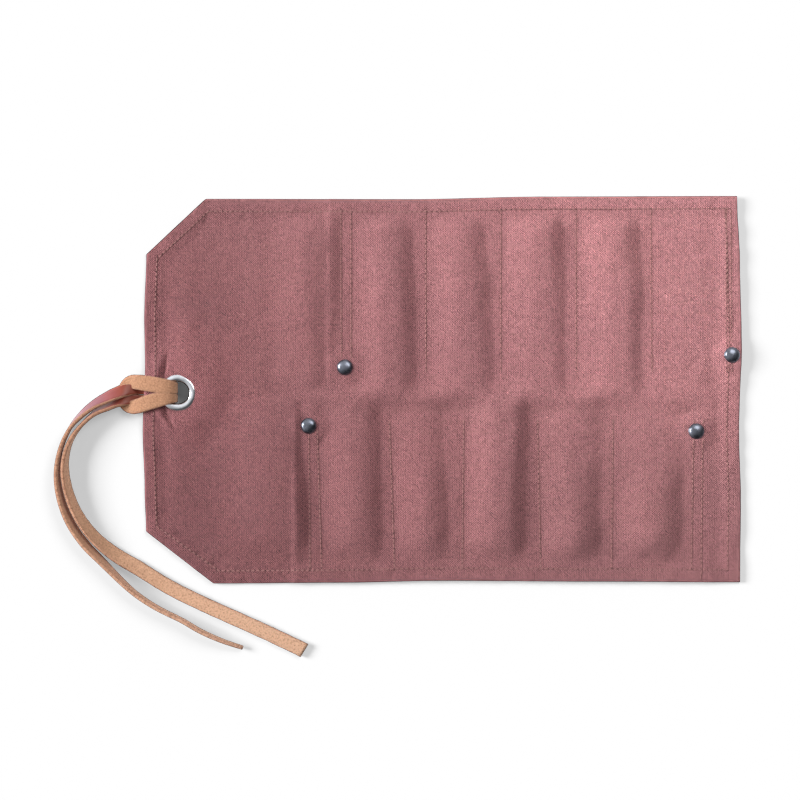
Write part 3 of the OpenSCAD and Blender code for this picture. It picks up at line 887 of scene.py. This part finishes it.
def canvas_material(name, tint):
    """Waxed canvas: ribbed weave, mottled wax, scuffs, lint, and painted light that grows towards the upper
    right.
    """
    n = Nodes(name)
    at = n.add("ShaderNodeAttribute", attribute_name="rest").outputs["Vector"]
    split = n.add("ShaderNodeSeparateXYZ", {0: at})
    wobble = n.math("MULTIPLY", n.noise(at, 300, 2), 0.0014)
    rib = n.math("SINE", n.math("MULTIPLY", n.math("ADD", split.outputs[0], wobble), 2 * math.pi / RIB))
    weft = n.math("SINE", n.math("MULTIPLY", n.math("ADD", split.outputs[1], wobble), 2 * math.pi / PICK))
    cross = n.math("MULTIPLY", rib, weft)
    threads = {0: at, 1: (RIB / 2, PICK / 2, 1.0)}
    crossing = n.add("ShaderNodeVectorMath", threads, operation="SNAP").outputs[0]
    slub = n.remap(n.add("ShaderNodeTexWhiteNoise", {0: crossing}).outputs["Value"], 0, 1, -1, 1)
    grit = n.remap(n.noise(at, 900, 3, 0.75), 0.32, 0.68, -1, 1)
    weave = n.math("ADD", n.math("MULTIPLY", cross, 1.5), n.math("MULTIPLY", rib, 0.3))
    tone = n.math("ADD", n.math("ADD", weave, n.math("MULTIPLY", slub, 0.6)), n.math("MULTIPLY", grit, 0.25))
    mottle = n.remap(n.noise(at, 38, 5, 0.65), 0.32, 0.68)
    cloud = n.remap(n.noise(at, 10, 2), 0.35, 0.65)
    scuff = n.remap(n.noise(n.scaled(at, (1.0, 0.3, 1.0)), 80, 6, 0.75), 0.6, 0.78)
    lint = n.remap(n.noise(at, 1050, 2, 0.6), 0.6, 0.72)
    lint = n.math("MULTIPLY", lint, n.remap(n.noise(at, 45, 3), 0.42, 0.62, 0.3, 1.0))
    # Painted light: the cloth is darker to the lower left and lighter to the upper right, as the lamps fall
    # on it.
    across = n.math("ADD", split.outputs[0], n.math("MULTIPLY", split.outputs[1], 0.5))
    wear_and_painted_light = n.remap(across, -0.15, 0.18)
    edge = n.remap(n.add("ShaderNodeAttribute", attribute_name="inset").outputs["Fac"], 0.0, 0.0012, 1.0, 0.0)
    waxed = scaled_tint(tint, 0.72, 0.68, 0.72)
    base = n.mix(n.math("MULTIPLY", mottle, 0.34), scaled_tint(tint, 1.07), waxed)
    base = n.mix(n.math("MULTIPLY", cloud, 0.22), base, scaled_tint(tint, 1.2, 1.15, 1.1))
    base = n.mix(n.math("MULTIPLY", scuff, 0.3), base, scaled_tint(tint, 1.7, 1.85, 1.75))
    base = n.mix(n.math("MULTIPLY", lint, 0.5), base, scaled_tint(tint, 2.3, 2.9, 2.6))
    base = n.mix(wear_and_painted_light, n.multiply(base, (0.71, 0.68, 0.69, 1)), n.multiply(base, (1.43, 1.52, 1.52, 1)))
    # Lighter round the eyelet and along the left edge.
    ends = {0: at, 1: (EYELET[0] * MM, EYELET[1] * MM, 0)}
    from_eyelet = n.add("ShaderNodeVectorMath", ends, operation="DISTANCE")
    lighter_by_eyelet = n.remap(from_eyelet.outputs["Value"], 0.015, 0.05, 0.95, 0.0)
    lighter_by_eyelet = n.math("MAXIMUM", lighter_by_eyelet, n.remap(split.outputs[0], -0.166, -0.148, 0.5, 0.0))
    base = n.mix(lighter_by_eyelet, base, n.multiply(base, (1.26, 1.22, 1.22, 1)))
    # Painted shade: the cloth is darker towards the lower right.
    downwards = n.remap(split.outputs[1], -0.005, -0.05)
    painted_shade_lower_right = n.math("MULTIPLY", downwards, n.remap(split.outputs[0], -0.02, 0.08))
    base = n.mix(painted_shade_lower_right, base, n.multiply(base, (0.82, 0.83, 0.83, 1)))
    base = n.mix(n.math("MULTIPLY", edge, 0.3), base, scaled_tint(tint, 1.5, 1.6, 1.6))
    speckle = n.mix(n.remap(tone, -1.8, 1.8), (0.06, 0.03, 0.05, 1), (1.94, 1.97, 1.95, 1))
    base = n.multiply(base, speckle)
    height = n.math("ADD", weave, n.math("MULTIPLY", slub, 0.15))
    rough = n.remap(mottle, 0, 1, 0.88, 0.72)
    return n.finish(Base_Color=base, Roughness=rough, Normal=n.bump(height, 0.5, 0.0002), Sheen_Weight=0.12,
                    Sheen_Roughness=0.5, Specular_IOR_Level=0.28)


def thread_material():
    n = Nodes("sewing_thread")
    at = n.add("ShaderNodeTexCoord").outputs["Object"]
    twist = n.add("ShaderNodeTexWave", {"Vector": at, "Scale": 900.0, "Distortion": 2.0}).outputs["Fac"]
    colour = n.mix(twist, rgb(136, 90, 90), rgb(188, 140, 134))
    return n.finish(Base_Color=colour, Roughness=0.7, Normal=n.bump(twist, 0.4, 0.0001))


def needle_hole_shade_material():
    n = Nodes("needle_holes_painted_shade")
    at = n.add("ShaderNodeTexCoord").outputs["Object"]
    # Painted shade: the dark colour of the needle holes.
    colour = n.mix(n.noise(at, 900), rgb(40, 18, 22), rgb(66, 32, 36))
    return n.finish(Base_Color=colour, Roughness=0.95)


def metal_material(name, dark, light, rough_low, rough_high):
    n = Nodes(name)
    at = n.add("ShaderNodeTexCoord").outputs["Object"]
    cloud = n.remap(n.noise(at, 260, 4), 0.3, 0.7)
    scratch = n.noise(n.scaled(at, (1.0, 9.0, 3.0)), 700, 3)
    both = n.math("ADD", n.math("MULTIPLY", cloud, 0.5), n.math("MULTIPLY", scratch, 0.5))
    rough = n.remap(both, 0.3, 0.7, rough_low, rough_high)
    return n.finish(Base_Color=n.mix(cloud, dark, light), Metallic=1.0, Roughness=rough,
                    Normal=n.bump(scratch, 0.06, 0.00005))


def suede_material(name, tint, nap, handling_and_shade):
    """Rough leather; the stretch near the knot is darker, partly from handling and partly from painted shade
    where the loop bends away.
    """
    n = Nodes(name)
    at = n.add("ShaderNodeAttribute", attribute_name="rest").outputs["Vector"]
    fuzz = n.remap(n.noise(at, 1100, 4, 0.8), 0.36, 0.64)
    patch = n.remap(n.noise(at, 140, 5, 0.7), 0.32, 0.68)
    dots = n.remap(n.noise(at, 900, 3, 0.7), 0.5, 0.66)
    base = n.mix(patch, scaled_tint(tint, 0.78, 0.72, 0.7), scaled_tint(tint, 1.1))
    along = n.add("ShaderNodeSeparateXYZ", {0: at}).outputs[0]
    base = n.mix(n.remap(along, 0.16, 0.26, 0.0, 0.9), base, scaled_tint(tint, 1.22, 1.34, 1.52))
    # Darker near the knot: handling, and painted shade of the bending loop.
    knot = n.remap(along, 0.05, 0.2, 1.0, 0.0)
    base = n.mix(n.math("MULTIPLY", knot, handling_and_shade), base, scaled_tint(tint, 0.56, 0.44, 0.38))
    base = n.mix(n.math("MULTIPLY", dots, 0.85), base, scaled_tint(tint, 0.4, 0.28, 0.24))
    base = n.mix(n.math("MULTIPLY", fuzz, 0.5), base, scaled_tint(tint, 1.42, 1.46, 1.5))
    return n.finish(Base_Color=base, Roughness=0.95, Normal=n.bump(fuzz, nap, 0.0003),
                    Sheen_Weight=0.2, Sheen_Roughness=0.6, Specular_IOR_Level=0.15)


def grain_material():
    """The smooth side of the lace: reddish brown at the knot, with a mauve painted sheen along the tails."""
    n = Nodes("lace_grain_side")
    at = n.add("ShaderNodeAttribute", attribute_name="rest").outputs["Vector"]
    cells = n.add("ShaderNodeTexVoronoi", {"Vector": at, "Scale": 1400.0}).outputs["Distance"]
    patch = n.remap(n.noise(at, 70, 4, 0.6), 0.3, 0.7)
    wear_and_painted_light = n.remap(n.noise(n.scaled(at, (0.3, 1.0, 1.0)), 300, 4, 0.7), 0.55, 0.75)
    base = n.mix(patch, rgb(132, 58, 42), rgb(168, 82, 58))
    # Painted sheen: mauve reflection along the tails.
    painted_sheen = n.remap(n.add("ShaderNodeSeparateXYZ", {0: at}).outputs[0], 0.068, 0.085)
    base = n.mix(n.math("MULTIPLY", painted_sheen, 0.75), base, rgb(132, 84, 98))
    base = n.mix(n.math("MULTIPLY", wear_and_painted_light, 0.4), base, rgb(140, 84, 74))
    return n.finish(Base_Color=base, Roughness=n.remap(patch, 0, 1, 0.42, 0.3),
                    Normal=n.bump(cells, 0.12, 0.0001), Coat_Weight=0.15,
                    Specular_IOR_Level=0.3, Coat_Roughness=0.3)


# ---- Stage ----

# Strength of the surroundings as a light, and as mirrored from the dark and the bright side
AMBIENT = 0.25
REFLECTED = (0.12, 1.15)
KEY = 118
FILL = 2.3

# Half of the floor's side, in metres, and its height
FLOOR = 3
FLOOR_Z = -0.0004
# The floor is left open where the case covers it, with a second floor below, so that
# the case can roll up beneath its flap and the scene's camera still sees it
WELL_X = (-0.1335, 0.164)
WELL_Y = 0.1062
WELL_DEPTH = 0.13
# A dip in the floor under the eyelet keeps what shows through its hole dark
DIP_X = (-0.16, -0.1385)
DIP_Y = (-0.012, 0.009)
DIP_DEPTH = 0.012
# The paper glows a little, so that shadows on it stay pale
PAPER_GLOW = 0.35


def floor_piece(name, x_lines, y_lines, z, paper, openings=()):
    """Flat piece of floor, without the quads whose middles lie in an opening."""
    x, y = np.meshgrid(x_lines, y_lines, indexing="ij")
    points = np.stack([x, y, 0 * x + z], -1).reshape(-1, 3)
    quads = grid_faces(len(x_lines), len(y_lines))
    at = points[quads].mean(1)
    for (x0, x1), (y0, y1) in openings:
        inside = (at[:, 0] > x0) & (at[:, 0] < x1) & (at[:, 1] > y0) & (at[:, 1] < y1)
        quads, at = quads[~inside], at[~inside]
    floor = new_object(name, points, quads.tolist())
    floor.data.materials.append(paper)
    floor.is_shadow_catcher = True


def make_stage():
    n = Nodes("paper_sweep")
    at = n.add("ShaderNodeTexCoord").outputs["Object"]
    shade = n.mix(n.noise(at, 3, 2), (0.9, 0.9, 0.9, 1), (0.93, 0.93, 0.93, 1))
    front = n.remap(n.add("ShaderNodeNewGeometry").outputs["Backfacing"], 0, 1, PAPER_GLOW, 0)
    paper = n.finish(Base_Color=shade, Roughness=0.9, Emission_Color=(1, 1, 1, 1), Emission_Strength=front)
    dim = Nodes("paper_in_the_dips").finish(Base_Color=(0.9, 0.9, 0.9, 1), Roughness=0.9)
    x_lines = (-FLOOR, *DIP_X, *WELL_X, FLOOR)
    y_lines = (-FLOOR, -WELL_Y, *DIP_Y, WELL_Y, FLOOR)
    openings = ((WELL_X, (-WELL_Y, WELL_Y)), (DIP_X, DIP_Y))
    floor_piece("paper_floor", x_lines, y_lines, FLOOR_Z, paper, openings)
    floor_piece("paper_dip", DIP_X, DIP_Y, -DIP_DEPTH, dim)
    floor_piece("paper_below", (-FLOOR, 0, FLOOR), (-FLOOR, 0, FLOOR), -WELL_DEPTH, dim)


def area_light(name, at, size, power):
    """Soft lamp aimed at the origin and hidden from the camera."""
    data = bpy.data.lights.new(name, "AREA")
    data.shape = "RECTANGLE"
    data.size, data.size_y = size
    data.energy = power
    light = bpy.data.objects.new(name, data)
    light.location = at
    light.rotation_euler = (-Vector(at)).to_track_quat("-Z", "Y").to_euler()
    light.visible_camera = False
    bpy.context.scene.collection.objects.link(light)


def reflected_studio(nodes, links):
    """What shiny parts mirror: a room that is bright on the lamp's side and dark across from it."""
    way = nodes.new("ShaderNodeSeparateXYZ")
    links.new(nodes.new("ShaderNodeTexCoord").outputs["Generated"], way.inputs[0])
    back = nodes.new("ShaderNodeMath")
    back.operation = "MULTIPLY_ADD"
    links.new(way.outputs[0], back.inputs[0])
    back.inputs[1].default_value = -0.9
    links.new(way.outputs[1], back.inputs[2])
    bright = nodes.new("ShaderNodeMapRange")
    links.new(back.outputs[0], bright.inputs["Value"])
    ranges = {"From Min": -0.6, "From Max": 0.5, "To Min": REFLECTED[0], "To Max": REFLECTED[1]}
    for name, amount in ranges.items():
        bright.inputs[name].default_value = amount
    return bright.outputs[0]


def make_light():
    """White surroundings, dim as a light, and two soft lamps."""
    world = bpy.data.worlds.new("studio")
    bpy.context.scene.world = world
    world.use_nodes = True
    nodes, links = world.node_tree.nodes, world.node_tree.links
    background = nodes["Background"]
    background.inputs[0].default_value = (1, 1, 1, 1)
    seen = nodes.new("ShaderNodeLightPath")
    value = AMBIENT
    for kind, strength in (("Is Glossy Ray", reflected_studio(nodes, links)), ("Is Camera Ray", 1.0)):
        node = nodes.new("ShaderNodeMix")
        for socket, source in ((2, value), (3, strength), (0, seen.outputs[kind])):
            if isinstance(source, float):
                node.inputs[socket].default_value = source
            else:
                links.new(source, node.inputs[socket])
        value = node.outputs[0]
    links.new(value, background.inputs[1])
    area_light("key", (-2.7, 0.45, 1.25), (1.3, 1.0), KEY)
    area_light("fill", (0.25, 0.35, 0.6), (0.4, 0.4), FILL)


# ---- Build ----

suede = suede_material("lace_suede_side", rgb(212, 164, 130), 0.6, 0.8)
raw_edge = suede_material("lace_cut_edge", rgb(202, 152, 122), 0.9, 0.5)
make_lace([suede, grain_material(), raw_edge])
make_panel(canvas_material("outer_canvas_waxed", rgb(155, 102, 105)))
make_strips(canvas_material("pocket_canvas_waxed", rgb(146, 94, 97)))
make_thread(thread_material(), needle_hole_shade_material())
make_rivets(metal_material("dark_nickel", (0.09, 0.1, 0.12, 1), (0.18, 0.19, 0.23, 1), 0.2, 0.34))
# The eyelet's barrel metal is near black: painted shade in its bore.
make_eyelet(metal_material("bright_nickel", (0.58, 0.6, 0.64, 1), (0.74, 0.76, 0.8, 1), 0.12, 0.26),
            metal_material("eyelet_barrel", (0.04, 0.042, 0.055, 1), (0.09, 0.095, 0.12, 1), 0.35, 0.55))
make_stage()
make_light()
bpy.context.scene.view_settings.view_transform = "Standard"
